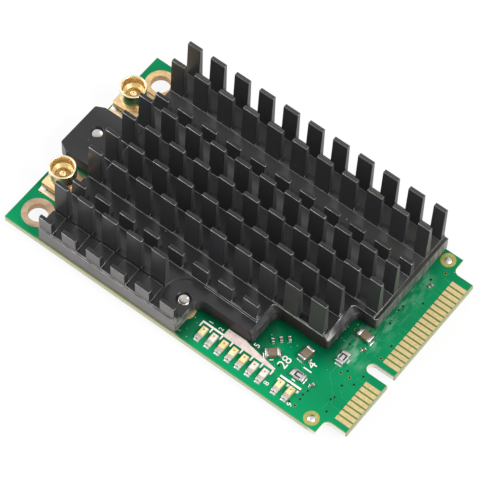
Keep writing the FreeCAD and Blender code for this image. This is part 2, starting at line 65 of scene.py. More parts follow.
# Camera of the photograph: angles in degrees, lengths in millimetres
camera_azimuth = 36.074
camera_elevation = 59.348
camera_roll = -2.068
camera_distance = 373.379
camera_target = Vector((21.852, 0.275, 1.0))
camera_lens = 228.57
camera_sensor = 36

# Lights, each with its place and width in metres, its power in watts and its colour, and the floor
key_light = ((0.42, 0.05, 0.45), 0.30, 3.0, (1.0, 0.98, 0.95))
fill_light = ((-0.45, -0.15, 0.40), 0.40, 2.6, (0.95, 0.98, 1.0))
ambient_strength = 0.5
floor_reach = 3.0
floor_paint = 0.85
floor_glow = 0.9

# Board places, and the thickness of print and tracks, in millimetres
board_low, board_high = (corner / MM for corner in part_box("circuit_board"))
board_top = board_high.z
film = 0.02

# Corners that painted shade on the board gathers round, at the heatsink's steps and a little inside its far
# end, and the front screw's place, with the soft radii of its hole (painted dark as shade) and of the recess
# round it
shade_corners = ((23.69, -14.87), (31.87, -10.28), (39.46, -5.37), (40.9, 0.48))
front_screw = (22.41, -11.5)
screw_hole_shade_limit = (1.1, 1.04)
screw_recess_limit = (3.0, 2.9)

# Soft zones of the looks, in millimetres: in the part frame along X and Y, and above the board along Z.
# Each limit is an axis, the place where the zone begins and the place where it is full. A zone lies inside
# all its limits.
zones = {
    "milled": [("Z", 2.7, 2.6)],
    "stepped": [("X", 25.0, 26.5), ("Y", 4.0, 3.0)],
    "front_face": [("Y", -13.5, -13.7)],
    "end_wall": [("X", 40.6, 41.4)],
    "open_row": [("Y", -5.7, -5.5), ("Y", -4.3, -4.5), ("X", 31.4, 31.8)],
    "nose_wall": [("X", 23.2, 23.4), ("X", 24.3, 24.1), ("Y", -12.0, -12.4)],
    "above_floor": [("Z", 3.0, 3.2)],
    "back_floor": [("Y", 2.0, 5.0)],
    "back_rows": [("Y", 9.0, 11.0)],
    "outer_slope": [("X", 34.0, 35.0), ("Y", -3.4, -5.4)],
    "upper_edges": [("Z", 2.33, 2.42)],
    "far_edges": [("X", 37.0, 38.0)],
    "back_edges": [("Y", 9.5, 13.0)],
    "floor_line": [("Z", 3.1, 3.0)],
    "inner_floor": [("Y", -9.5, -9.0)],
    "front_floor": [("Y", -9.3, -9.6), ("X", 21.0, 20.0)],
    "groove": [("Y", -12.05, -11.95), ("Y", -11.55, -11.65)],
    "groove_edge": [("Z", 2.75, 2.8)],
    "tab": [("X", 2.4, 2.0), ("Y", -6.5, -6.0)],
    "painted_light_edge": [("Y", -10.5, -14.9)],
    "beside_heatsink": [("X", 40.4, 40.9), ("X", 44.9, 42.9), ("Y", -5.6, -4.6), ("Y", 11.5, 9.5)],
    "board_upper": [("Z", -0.3, -0.1)],
    "past_nose": [("X", 22.0, 23.6)],
    "board_rim": [("Z", -0.28, -0.16)],
    "tongue": [("X", 43.5, 44.5)],
    "tongue_end": [("X", board_high.x - 0.2, board_high.x - 0.14)],
    "walled": [("X", 1.9, 2.3), ("X", 24.4, 23.4)],
    "front_strip": [("Y", board_low.y + 0.17, board_low.y + 0.13)],
    "back_ring": [("Y", -1.0, 1.0)],
    "ring_inside": [("Z", 0.0, -0.05)],
}

# Rounding of the edges of CAD nodes, in millimetres
node_rounding = {
    "heatsink": 0.045, "circuit_board": 0.03, "capacitor_bodies": 0.07, "capacitor_terminals": 0.07,
    "resistor_bodies": 0.035, "resistor_terminals": 0.035, "small_chip_bodies": 0.035,
    "small_chip_terminals": 0.035, "mounting_hole_plating": 0.012, "tooling_hole_plating": 0.012,
    "screw_hole_plating": 0.012, "heatsink_screws": 0.05,
}

# Antenna jacks, in millimetres, with outlines of radius, depth below the rim and corner radius
jack_base_half = 1.95
jack_base_corner = 0.25
jack_base_bottom = 0.3
jack_base_top = 1.1
jack_base_rounding = 0.06
jack_leg_place = 1.5
jack_leg_size = 0.9
jack_leg_height = 0.32
jack_pad_place = 2.2
jack_pad_size = (3.9, 0.75, 0.04)
shell_outline = ((1.5, 2.28, 0.12), (1.75, 1.92, 0.15), (1.75, 0.0, 0.13), (1.47, 0.0, 0.13),
                 (1.44, 1.3, 0.3), (1.02, 1.8, 0.15), (1.0, 2.2, 0))
insulator_outline = ((0.99, 2.25, 0.05), (0.42, 2.3, 0.05))
contact_outline = ((0.4, 1.5, 0.07), (0.23, 1.5, 0.06), (0.2, 1.85, 0.1), (0.02, 1.88, 0))

# Indicator lamps, in millimetres
lamp_tints = ("clear", "pale", "amber", "clear", "amber", "pale", "pale", "clear", "amber")
lamp_base_width = 0.84
lamp_base_height = 0.29
lamp_front_end = 0.5
lamp_back_end = 0.25
lamp_end_half = 0.425
lamp_end_height = 0.3
lamp_rounding = 0.03
notch_radius = 0.1
notch_steps = 8
lens_half = 0.42
lens_corner = 0.06
lens_shoulder = 0.14
lens_crown = 0.06
die_outline = ((0.01, 0.0), (0.13, 0.0), (0.11, 0.02), (0.01, 0.025))
die_shift = (0.03, 0.12)
die_sink = 0.004

# Solder, in millimetres: the reach of each kind of fillet, and outlines of radius and height
chip_fillets = {"capacitor_terminals": 0.2, "resistor_terminals": 0.2, "small_chip_terminals": 0.09}
chip_fillet_width_share = 1.02
chip_fillet_height_share = 0.55
fillet_width = 0.8
lamp_fillet_height = 0.16
lamp_front_reach = 0.24
lamp_back_reach = 0.14
jack_fillet_height = 0.22
jack_fillet_reach = 0.5
jack_fillet_place = 1.94
fillet_section = ((-1, 0), (-0.92, 0.8), (-0.5, 1), (0.5, 1), (0.92, 0.8), (1, 0))
fillet_steps = 5
fillet_edge = 0.015
tooling_solder = ((0.01, -0.06), (0.3, -0.05), (0.48, -0.01), (0.48, board_top), (0.4, board_top + 0.05),
                  (0.2, board_top + 0.11), (0.01, board_top + 0.12))

# Hollow screw ends by radius, height and corner radius, contact gaps and resistor coats, in millimetres
screw_cup = ((0.01, 0.0, 0), (0.78, 0.0, 0), (0.78, 0.1, 0.04), (0.66, 0.2, 0.05), (0.4, 0.1, 0.1),
             (0.01, 0.03, 0))
screw_cup_sink = 0.01
contact_gap_limit = 0.5
contact_gap_lap = 0.03
coat_level = 0.48
glaze_inset = 0.02
glaze_width = 0.96
glaze_height = 0.045
frame_inset = 0.14
frame_height = 0.06
frame_line = 0.2
frame_line_place = 0.3
frame_bar_width = 0.42
frame_bar_place = 0.17
coat_rounding = 0.012

# Board print, in millimetres from the antenna end and the lamp edge: bars and ticks between two corners, a
# pale block, short slanted dashes, and numbers with their size
print_bars = [
    (28.2, 3.4, 31.35, 3.66), (31.35, 3.4, 39.05, 3.5), (40.05, 3.26, 43.15, 3.58), (41.4, 3.82, 41.9, 3.97),
    (43.82, 9.72, 43.96, 10.2), (45.25, 9.72, 45.4, 10.25), (41.62, 6.9, 41.76, 7.5),
]
row_ticks = [28.2 + 1.53 * i for i in range(8)]
pair_ticks = (40.05, 41.44, 42.87)
print_bars += [(x, 2.75, x + 0.2, 3.42) for x in row_ticks]
print_bars += [(x, 2.72, x + 0.28, 3.28) for x in pair_ticks]
print_block = ((31.35, 3.4), (39.05, 3.4), (39.05, 3.78), (34.4, 4.5), (33.9, 4.64), (31.35, 4.6))
print_dashes = ((38.35, 5.45), (37.95, 4.45))
dash_size = (0.5, 0.14, film, math.radians(42))
print_numbers = (
    ("28", 39.95, 4.3, 1.75), ("14", 42.75, 5.6, 1.75), ("9", 43.6, 0.75, 1.0), ("8", 39.7, 1.3, 1.0),
    ("1", 29.45, 3.78, 0.9), ("2", 30.95, 3.78, 0.9), ("5", 35.75, 4.65, 1.1),
)

# Tracks and vias, in the same places: the contacts that tracks run from, free routes on the component side,
# and vias with outlines of radius and height
contact_pitch = 0.8
long_contacts = 18
short_contacts = 8
track_width = 0.2
top_start = 48.65
bottom_start = 48.6
amplifier_rows = (8.0, 22.6)
free_routes = [
    [(38.2, 4.6), (39.6, 3.2), (43.3, 3.2), (43.9, 3.8)],
    [(42.7, 4.65), (43.5, 4.65)],
    [(44.6, 8.9), (44.6, 7.2), (46.7, 5.1), (46.7, 3.0)],
    [(44.5, 11.1), (44.5, 12.0), (42.9, 12.0)],
    [(40.85, 6.5), (41.9, 5.5)],
    [(45.9, 13.9), (46.9, 14.9), (48.1, 14.9)],
    [(46.0, 8.9), (45.4, 9.5), (45.0, 9.5)],
]
top_vias = [
    (46.0, 8.9), (46.72, 8.32), (47.95, 9.45), (47.7, 7.9), (43.85, 2.35), (43.85, 1.3), (43.75, 3.05),
    (43.9, 3.82), (43.0, 1.3), (48.1, 12.72), (44.0, 12.0), (42.9, 12.0), (46.65, 6.9), (45.5, 8.2),
    (48.1, 14.9), (45.85, 19.4), (45.95, 20.2), (47.3, 27.1), (46.4, 25.3), (46.1, 17.3), (47.3, 3.0),
    (1.3, 5.4), (47.6, 22.0), (46.9, 5.1), (39.1, 4.4), (43.4, 14.0),
]
via_ring = ((0.1, 0.0), (0.2, 0.0), (0.18, 0.03), (0.14, 0.03))
# A near-black disc in each via stands for the shade down its hole: painted shade.
via_shade_disc = ((0.005, 0.0), (0.15, 0.0), (0.15, 0.027), (0.005, 0.02))


def on_board(x, y):
    """A place given from the antenna end and the lamp edge of the board, in the part frame."""
    return board_low.x + x, board_low.y + y


def tint(code):
    """Linear colour of a hex code."""
    parts = [int(code[i:i + 2], 16) / 255 for i in (0, 2, 4)]
    return [((p + 0.055) / 1.055) ** 2.4 if p > 0.04045 else p / 12.92 for p in parts] + [1.0]


# Camera, light and floor


def put(name, data):
    """A new object in the scene."""
    made = bpy.data.objects.new(name, data)
    bpy.context.scene.collection.objects.link(made)
    return made


def make_camera():
    azimuth = math.radians(camera_azimuth)
    elevation = math.radians(camera_elevation)
    roll = math.radians(camera_roll)
    level = math.cos(elevation)
    back = Vector((math.sin(azimuth) * level, -math.cos(azimuth) * level, math.sin(elevation)))
    right = (-back).cross(Vector((0, 0, 1))).normalized()
    down = (-back).cross(right)
    rolled_right = right * math.cos(roll) + down * math.sin(roll)
    rolled_down = down * math.cos(roll) - right * math.sin(roll)
    data = bpy.data.cameras.new("photo_camera")
    data.lens = camera_lens
    data.sensor_width = camera_sensor
    data.clip_start = 0.01
    data.clip_end = 20
    camera = put("photo_camera", data)
    turn = Matrix((rolled_right, -rolled_down, back)).transposed().to_4x4()
    place = (camera_target + back * camera_distance) * MM
    camera.matrix_world = Matrix.Translation(place) @ turn
    bpy.context.scene.camera = camera


def area_light(name, place, size, power, color):
    data = bpy.data.lights.new(name, "AREA")
    data.shape = "DISK"
    data.size = size
    data.energy = power
    data.color = color
    light = put(name, data)
    light.location = place
    aim = camera_target * MM - Vector(place)
    light.rotation_euler = aim.to_track_quat("-Z", "Y").to_euler()


def feed(tree, socket, value):
    """Link an output to a socket, or set a plain value or the colour of a hex code on it."""
    if isinstance(value, bpy.types.NodeSocket):
        tree.links.new(value, socket)
    else:
        socket.default_value = tint(value) if isinstance(value, str) else value


def split_rays(tree, kind, unseen, seen, share):
    """One shader for rays that only carry light, and a share of another for rays from the eye or a mirror."""
    path = tree.nodes.new("ShaderNodeLightPath")
    factor = path.outputs["Is Camera Ray"]
    glossy = path.outputs["Is Glossy Ray"]
    through = path.outputs["Is Transmission Ray"]
    for operation, value in (("MAXIMUM", glossy), ("MAXIMUM", through), ("MULTIPLY", share)):
        node = tree.nodes.new("ShaderNodeMath")
        node.operation = operation
        feed(tree, node.inputs[0], factor)
        feed(tree, node.inputs[1], value)
        factor = node.outputs[0]
    mix = tree.nodes.new("ShaderNodeMixShader")
    feed(tree, mix.inputs["Fac"], factor)
    feed(tree, mix.inputs[1], unseen.outputs[0])
    feed(tree, mix.inputs[2], seen.outputs[0])
    feed(tree, tree.nodes.new(kind).inputs["Surface"], mix.outputs[0])


def make_world():
    world = bpy.data.worlds.new("studio")
    bpy.context.scene.world = world
    world.use_nodes = True
    tree = world.node_tree
    tree.nodes.clear()
    ambient = tree.nodes.new("ShaderNodeBackground")
    ambient.inputs["Strength"].default_value = ambient_strength
    white = tree.nodes.new("ShaderNodeBackground")
    for background in (ambient, white):
        background.inputs["Color"].default_value = (1, 1, 1, 1)
    split_rays(tree, "ShaderNodeOutputWorld", ambient, white, 1.0)


def make_floor():
    """Pale floor under the screw heads: white to the eye, apart from the object's shadow."""
    mesh = bpy.data.meshes.new("floor")
    corners = [(a * floor_reach, b * floor_reach, cad_box[0].z) for a, b in square]
    mesh.from_pydata(corners, [], [(0, 1, 2, 3)])
    floor = put("floor", mesh)
    material = bpy.data.materials.new("floor")
    material.use_nodes = True
    tree = material.node_tree
    tree.nodes.clear()
    paint = tree.nodes.new("ShaderNodeBsdfDiffuse")
    paint.inputs["Color"].default_value = (floor_paint, floor_paint, floor_paint, 1)
    glow = tree.nodes.new("ShaderNodeEmission")
    split_rays(tree, "ShaderNodeOutputMaterial", paint, glow, floor_glow)
    mesh.materials.append(material)


# Materials


class Look:
    """A procedural material with texture sizes in millimetres."""

    def __init__(self, name, metallic=0.0, roughness=0.5, specular=0.5):
        self.material = bpy.data.materials.new(name)
        self.material.use_nodes = True
        self.tree = self.material.node_tree
        self.shader = self.tree.nodes["Principled BSDF"]
        self.place = self.tree.nodes.new("ShaderNodeTexCoord")
        self.split = {}
        self.set("Metallic", metallic)
        self.set("Roughness", roughness)
        self.set("Specular IOR Level", specular)

    def set(self, name, value):
        self.shader.inputs[name].default_value = value

    def give(self, name, output):
        self.tree.links.new(output, self.shader.inputs[name])

    def add(self, kind, values):
        """A new node of a kind, with some of its inputs set or linked."""
        node = self.tree.nodes.new("ShaderNode" + kind)
        for name, value in values.items():
            feed(self.tree, node.inputs[name], value)
        return node

    def math(self, operation, first, second=0.0):
        node = self.tree.nodes.new("ShaderNodeMath")
        node.operation = operation
        feed(self.tree, node.inputs[0], first)
        feed(self.tree, node.inputs[1], second)
        return node.outputs[0]

    def product(self, *values):
        """All the values multiplied together."""
        total = values[0]
        for value in values[1:]:
            total = self.math("MULTIPLY", total, value)
        return total

    def length(self, first, second):
        """Length of the slanted side of a right triangle."""
        squares = self.math("ADD", self.product(first, first), self.product(second, second))
        return self.math("SQRT", squares)

    def between(self, value, low, high, to_low=0.0, to_high=1.0):
        """A value's way from low to high, clamped, as a number from to_low to to_high."""
        values = {"Value": value, "From Min": low, "From Max": high, "To Min": to_low, "To Max": to_high}
        return self.add("MapRange", values).outputs["Result"]

    def point(self, scale):
        values = {"Vector": self.place.outputs["Object"], "Scale": scale}
        return self.add("Mapping", values).outputs["Vector"]

    def noise(self, size, stretch=(1, 1, 1), detail=3.0):
        """Noise with features of about this size, drawn out along an axis by its stretch."""
        point = self.point([1 / (MM * size * s) for s in stretch])
        return self.add("TexNoise", {"Vector": point, "Scale": 1.0, "Detail": detail}).outputs["Fac"]

    def patches(self, low, high, size, stretch=(1, 1, 1), detail=3.0):
        """Noise that rises from nought to one between two of its levels."""
        return self.between(self.noise(size, stretch, detail), low, high)

    def uneven_gloss(self, size, low, high):
        self.give("Roughness", self.between(self.noise(size), 0.3, 0.7, low, high))

    def specks(self, spacing, radius):
        """One inside small round specks scattered at about this spacing."""
        point = self.point([1 / (MM * spacing)] * 3)
        node = self.add("TexVoronoi", {"Vector": point, "Scale": 1.0})
        return self.between(node.outputs["Distance"], radius, 0.6 * radius)

    def bands(self, size, direction):
        """Soft bands of about this size across an axis."""
        values = {"Vector": self.place.outputs["Object"], "Scale": 0.314 / (MM * size)}
        node = self.add("TexWave", values)
        node.bands_direction = direction
        return node.outputs["Fac"]

    def part(self, output, axis):
        """One component of the object's position in millimetres or of its surface normal."""
        if output not in self.split:
            source = self.place.outputs["Normal"] if output == "Normal" else self.point([1 / MM] * 3)
            self.split[output] = self.add("SeparateXYZ", {"Vector": source})
        return self.split[output].outputs[axis]

    def facing(self, axis):
        """One on faces square to an axis, nought on the others."""
        return self.between(self.math("ABSOLUTE", self.part("Normal", axis)), 0.6, 0.8)

    def zone(self, name):
        """One inside a zone, nought outside it."""
        limits = []
        for axis, start, full in zones[name]:
            base = board_top if axis == "Z" else 0.0
            limits.append(self.between(self.part("Object", axis), base + start, base + full))
        return self.product(*limits)

    def round_screw(self, limit):
        """One near the front screw in plan, nought beyond a soft radius."""
        aside = self.math("SUBTRACT", self.part("Object", "X"), front_screw[0])
        apart = self.math("SUBTRACT", self.part("Object", "Y"), front_screw[1])
        return self.between(self.length(aside, apart), *limit)

    def mix(self, factor, first, second):
        node = self.tree.nodes.new("ShaderNodeMix")
        node.data_type = "RGBA"
        for name, value in (("Factor", factor), ("A", first), ("B", second)):
            feed(self.tree, node.inputs[name], value)
        return node.outputs["Result"]

    def bump(self, height, depth):
        """Relief of this depth in millimetres."""
        node = self.add("Bump", {"Height": height, "Distance": depth * MM, "Strength": 1.0})
        self.give("Normal", node.outputs["Normal"])


def anodised_look():
    """Black anodised aluminium: drawn faces dark, sawn faces greyer, floors glossier, a little dust. Painted
    light on the front faces, one open row and the outer slope, and painted shade in the front screw's hole.
    """
    look = Look("black_anodised")
    across = look.facing("X")
    up = look.facing("Z")
    milled = look.zone("milled")
    stepped = look.zone("stepped")
    front_face = look.zone("front_face")
    end_wall = look.zone("end_wall")
    open_row = look.product(look.zone("open_row"), look.math("SUBTRACT", 1.0, milled))
    scuff = look.patches(0.4, 0.66, 0.5, (1, 1, 5))
    rubbed = look.patches(0.38, 0.6, 0.5, (1.2, 2.0, 1.0), 5.0)
    wall = look.mix(scuff, look.mix(end_wall, "3a3a3c", "565654"), look.mix(end_wall, "5c5c5f", "80807c"))
    wall = look.mix(look.zone("nose_wall"), wall, look.mix(rubbed, "434341", "8e8e88"))
    sides = look.mix(milled, look.mix(front_face, "474749", "252526"), wall)
    drawn_face = look.mix(look.product(stepped, milled), "373739", "383131")
    # Painted light: the drawn faces of the row that stands open to the board in front are painted lighter.
    drawn_face = look.mix(open_row, drawn_face, "434340")
    # Painted reflection: the drawn front faces are painted a light warm grey, as the bright floor in front
    # would show.
    drawn_face = look.mix(front_face, drawn_face, "6b6665")
    body = look.mix(across, drawn_face, sides)
    tops = look.product(up, look.zone("above_floor"))
    floor = look.mix(look.zone("back_floor"), "232324", "383837")
    top_face = look.mix(look.zone("back_rows"), "2c2c2d", "40403c")
    body = look.mix(up, body, look.mix(tops, floor, top_face))
    slope = look.product(look.between(look.part("Normal", "X"), 0.6, 0.7),
                         look.between(look.part("Normal", "Z"), 0.4, 0.5))
    dull_metal = look.mix(rubbed, "3e3e40", "565658")
    highlit_metal = look.mix(rubbed, "666667", "cacac8")
    # The sloped walls are bare milled metal; on the outer slope the metal is painted brighter as a painted
    # highlight.
    body = look.mix(slope, body, look.mix(look.zone("outer_slope"), dull_metal, highlit_metal))
    # Painted shade: the front screw's hole and chamfer are painted near-black.
    body = look.mix(look.round_screw(screw_hole_shade_limit), body, "060606")
    cloud = look.between(look.noise(2.6, (2.5, 1, 1)), 0.42, 0.68, 0.0, 0.35)
    body = look.mix(cloud, body, "363638")
    body = look.mix(look.specks(2.3, 0.035), body, "a2a2a0")
    look.give("Base Color", body)
    drawn = look.noise(0.10, (30, 1, 1))
    sawn = look.noise(0.09, (1, 25, 1))
    relief = look.mix(across, drawn, sawn)
    relief = look.mix(up, relief, look.noise(0.12, (3, 1, 1)))
    look.bump(relief, 0.012)
    low_walls = look.product(stepped, milled, look.math("SUBTRACT", 1.0, look.math("MAXIMUM", up, end_wall)))
    gloss = look.between(look.math("MAXIMUM", low_walls, open_row), 0.0, 1.0, 0.42, 0.08)
    look.give("Specular IOR Level", look.math("SUBTRACT", gloss, look.product(tops, 0.24)))
    floor_gloss = look.product(look.math("SUBTRACT", up, tops), 0.14)
    sawn_dull = look.between(across, 0.0, 1.0, 0.32, 0.38)
    look.give("Roughness", look.math("SUBTRACT", sawn_dull, floor_gloss))
    return look.material


def edge_wear_and_highlight_look():
    """Rounded edges of the heatsink, where the black is thin and the metal shines through. Edges that face
    the front, the front floor lines and the groove's top edge carry painted highlights; the inner floor
    lines, the edges by the tab and round the screw recess, and the upward faces of the upper and far edges
    are painted darker.
    """
    look = Look("worn_edge_and_highlight", metallic=0.6, roughness=0.32)
    wear = look.patches(0.3, 0.7, 0.9)
    # Edges that face the front are given a painted highlight.
    front = look.between(look.part("Normal", "Y"), 0.1, -0.4)
    floor_line = look.zone("floor_line")
    inner_line = look.product(look.zone("inner_floor"), floor_line)
    plain = look.mix(inner_line, look.mix(wear, "3f3f41", "6d6d6f"), "2a2a2c")
    top = look.mix(front, plain, look.mix(wear, "848485", "c8c8c8"))
    # Painted highlights on the front floor lines and, below, on the groove's top edge.
    front_line = look.product(look.zone("front_floor"), floor_line)
    sawn = look.mix(wear, "4c4c4d", "6e6e6f")
    top = look.mix(front_line, top, look.mix(front, sawn, look.mix(wear, "a8a8a8", "e4e4e4")))
    top = look.mix(look.zone("groove"), top, look.mix(look.zone("groove_edge"), "242425", "d8d8d8"))
    top = look.mix(look.product(look.zone("tab"), floor_line), top, "39393b")
    top = look.mix(look.round_screw(screw_recess_limit), top, "3c3c3e")
    top = look.mix(look.zone("back_edges"), top, "6f6f6b")
    lift = look.product(look.between(look.part("Normal", "Z"), 0.25, 0.6),
                        look.math("MAXIMUM", look.zone("upper_edges"), look.zone("far_edges")))
    look.give("Base Color", look.mix(lift, "303032", top))
    return look.material


def mask_look():
    """Green solder mask on glass laminate: a mottled weave, dust, bare edges, residue with painted sheen
    beside the heatsink's far end, painted light towards the open front edge and painted shade round the
    heatsink's steps.
    """
    look = Look("solder_mask", specular=0.12)
    x = look.part("Object", "X")
    y = look.part("Object", "Y")
    upper = look.zone("board_upper")
    tongue = look.zone("tongue")
    walled = look.zone("walled")
    pale = "048856"
    weave = look.product(look.bands(0.45, "X"), look.bands(0.45, "Y"))
    patch = look.patches(0.35, 0.7, 5.0)
    green = look.mix(look.product(patch, 0.6), "007a4c", pale)
    green = look.mix(look.product(weave, 0.12), green, pale)
    # Painted light: the mask is lighter towards the open front edge of the board.
    green = look.mix(look.product(look.zone("painted_light_edge"), 0.7), green, "00955c")
    green = look.mix(look.specks(1.7, 0.05), green, "8cc9a6")
    # Whitish streaks beside the heatsink's far end: flux residue, with a painted sheen in them as well.
    streak = look.patches(0.42, 0.64, 0.7, (1, 3, 1), 5.0)
    residue_and_sheen = look.product(look.zone("beside_heatsink"), streak, upper, 0.46)
    green = look.mix(residue_and_sheen, green, "93c4a8")
    away = None
    for step_x, step_y in shade_corners:
        beyond = look.math("MAXIMUM", look.math("SUBTRACT", x, step_x), 0.0)
        before = look.math("MAXIMUM", look.math("SUBTRACT", step_y, y), 0.0)
        reach = look.length(beyond, before)
        away = look.math("MINIMUM", away, reach) if away else reach
    bare_top = look.product(look.zone("past_nose"), upper)
    # Painted shade: the mask darkens towards the heatsink's steps, by distance from their corners.
    painted_shade = look.product(look.between(away, 3.0, 0.2), bare_top, 0.8)
    green = look.mix(painted_shade, green, "00291a")
    dust = look.product(look.specks(0.75, 0.09), look.between(away, 4.0, 1.5), bare_top)
    green = look.mix(dust, green, "b4d6c2")
    green = look.mix(look.product(walled, look.zone("front_strip")), green, "908a68")
    layer = look.between(look.bands(0.24, "Z"), 0.45, 0.6)
    bare = look.mix(layer, "b4b98e", "c8ccae")
    bare = look.mix(tongue, bare, "f0efe4")
    rim = look.mix(tongue, look.mix(walled, "6a9c62", "a29a72"), "a2a274")
    bare = look.mix(look.zone("board_rim"), bare, rim)
    bare = look.mix(look.zone("tongue_end"), bare, "949873")
    flat_face = look.between(look.math("ABSOLUTE", look.part("Normal", "Z")), 0.78, 0.92)
    look.give("Base Color", look.mix(flat_face, bare, green))
    look.bump(look.math("ADD", look.noise(0.35), look.product(weave, 0.4)), 0.006)
    look.uneven_gloss(1.4, 0.13, 0.22)
    return look.material


def contact_look():
    """Hard gold on the contacts and hole pads: rubbed, a little stained, and painted shade in brown down in
    the holes.
    """
    look = Look("gold_plate", metallic=1.0)
    patch = look.patches(0.36, 0.68, 0.35)
    body = look.mix(patch, "dcc998", "cfb47e")
    body = look.mix(look.patches(0.62, 0.76, 0.12), body, "aa8a58")
    # Painted shade: the plating darkens to brown down in the holes.
    depth = look.math("SUBTRACT", look.part("Object", "Z"), board_top / 2)
    inside = look.between(look.math("ABSOLUTE", depth), board_top / 2, board_top / 2 - 0.06)
    look.give("Base Color", look.mix(inside, body, "8a673a"))
    look.uneven_gloss(0.3, 0.34, 0.5)
    look.bump(look.noise(0.12, (6, 1, 1)), 0.006)
    return look.material


def metal_look(name, body, stain, roughness, grain=0.3, stretch=(1, 1, 1), depth=0.006, metallic=1.0):
    """Plated metal with slight stains, uneven gloss and a fine grain."""
    look = Look(name, metallic=metallic)
    patch = look.patches(0.4, 0.72, 1.2)
    look.give("Base Color", look.mix(patch, body, stain))
    look.uneven_gloss(0.5, 0.8 * roughness, 1.25 * roughness)
    look.bump(look.noise(grain, stretch), depth)
    return look.material


def ring_look():
    """Gold rings of the mounting holes: the front one greyer and pinker, the back one more golden and painted
    lighter to make up for the shade round it, with painted shade down in the holes.
    """
    look = Look("mounting_ring", metallic=0.7)
    patch = look.patches(0.38, 0.66, 0.9)
    front = look.mix(patch, "bfa68a", "a78c78")
    # Painted light: the back ring is painted lighter to make up for the shade round it.
    back = look.mix(patch, "e2c38f", "cda777")
    ring = look.mix(look.zone("back_ring"), front, back)
    # Painted shade down in the holes.
    look.give("Base Color", look.mix(look.zone("ring_inside"), ring, "b8966e"))
    look.uneven_gloss(0.5, 0.36, 0.52)
    look.bump(look.noise(0.3), 0.008)
    return look.material


def moulded_look(name, body, shade, roughness, size=0.3, depth=0.01, specular=0.5):
    """Moulded, pressed or fired stuff: two close tones, a fine grain and uneven gloss."""
    look = Look(name, specular=specular)
    look.give("Base Color", look.mix(look.patches(0.35, 0.65, size), body, shade))
    look.uneven_gloss(3 * size, 0.85 * roughness, 1.2 * roughness)
    look.bump(look.noise(0.5 * size), depth)
    return look.material


def lens_look(name, body, core):
    """Lamp resin in two close tones: glossy, and light spreads a little inside it."""
    look = Look(name, roughness=0.16)
    look.set("Subsurface Weight", 0.25)
    look.set("Subsurface Radius", (0.3 * MM, 0.25 * MM, 0.1 * MM))
    look.set("Subsurface Scale", 1.0)
    look.give("Base Color", look.mix(look.patches(0.38, 0.62, 0.5), body, core))
    look.bump(look.noise(0.3), 0.01)
    return look.material


heatsink_edge = edge_wear_and_highlight_look()
looks = {
    "solder_mask": mask_look(),
    "gold_plate": contact_look(),
    "jack_gold": metal_look("jack_gold", "f2e2c0", "e8d2a8", 0.28, grain=1.2, depth=0.002),
    "black_anodised": anodised_look(),
    "screw_nickel": metal_look("screw_nickel", "c9c6c0", "a9a69f", 0.2, depth=0.004),
    "thermal_pad": moulded_look("thermal_pad", "a3adba", "929cab", 0.7, depth=0.03),
    "chip_black": moulded_look("chip_black", "232325", "2e2e30", 0.55, size=0.15),
    "crystal_metal": metal_look("crystal_metal", "bdbcb6", "a5a49d", 0.3, stretch=(6, 1, 1)),
    "ferrite": moulded_look("ferrite", "3b3b3d", "4a4a4c", 0.6, size=0.2, depth=0.02),
    "filter_ceramic": moulded_look("filter_ceramic", "dad9d2", "c6c5bd", 0.5),
    # The jack insulator is painted gold-tan, a painted reflection of the gold shell round it.
    "insulator_white": moulded_look("insulator_white", "cfb27a", "bf9f64", 0.45, depth=0.004),
    "lamp_white": moulded_look("lamp_white", "c2c1b4", "aeac9d", 0.5, size=0.2),
    "lamp_clear": lens_look("lamp_clear", "e9e1b8", "dfcf94"),
    "solder_tin": metal_look("solder_tin", "d6d5d2", "b9b8b4", 0.3, grain=0.25, depth=0.02),
    "capacitor_brown": moulded_look("capacitor_brown", "7b6b57", "6b5c4a", 0.4, size=0.25),
    "resistor_white": moulded_look("resistor_white", "d8d6d6", "c4c2c3", 0.45, size=0.2),
    "resistor_black": moulded_look("resistor_black", "1a1a1c", "2a2a2c", 0.3, size=0.2),
}
mounting_ring_look = ring_look()
jack_base_look = metal_look("jack_base", "cbb088", "b5966c", 0.42)
jack_pad_look = metal_look("jack_pad", "dcc8aa", "c4ab8a", 0.5, metallic=0.7)
tooling_ring_look = metal_look("tooling_ring", "b3ac68", "9d9c5a", 0.45)
bare_laminate = moulded_look("bare_laminate", "4a6a38", "567440", 0.5, specular=0.15)
lamp_end_look = metal_look("lamp_end", "ccc7be", "b4aea4", 0.5)
track_green = moulded_look("mask_over_copper", "04804d", "0b8c58", 0.2, depth=0.004, specular=0.2)
via_rim = moulded_look("via_rim", "0b6e45", "1c7a48", 0.4, size=0.1, specular=0.3)
via_gold = moulded_look("via_gold", "8f8a3e", "6c8040", 0.4, size=0.1, specular=0.3)
lens_white = lens_look("lamp_clear_pale", "e6e0d6", "dacec5")
lens_amber = lens_look("lamp_clear_amber", "e8d8aa", "dabd80")
silk_white = moulded_look("silkscreen_ink", "efece8", "e2dcd8", 0.6, size=0.25, depth=0.008)
silk_pink = moulded_look("silkscreen_block", "dbcbc5", "c9b7b1", 0.6, size=0.4, depth=0.008)
# Painted shade for the via holes.
via_shade_look = moulded_look("via_hole_painted_shade", "050f0a", "0a1a12", 0.7, size=0.1, specular=0.2)
lamp_dot_look = moulded_look("lamp_die", "9a6a4a", "b98a52", 0.4, size=0.1)
resistor_glaze_look = moulded_look("resistor_glaze", "c2bcbd", "aea8ab", 0.25, size=0.3, depth=0.004)


# Mesh tools, in millimetres

square = ((-1, -1), (1, -1), (1, 1), (-1, 1))


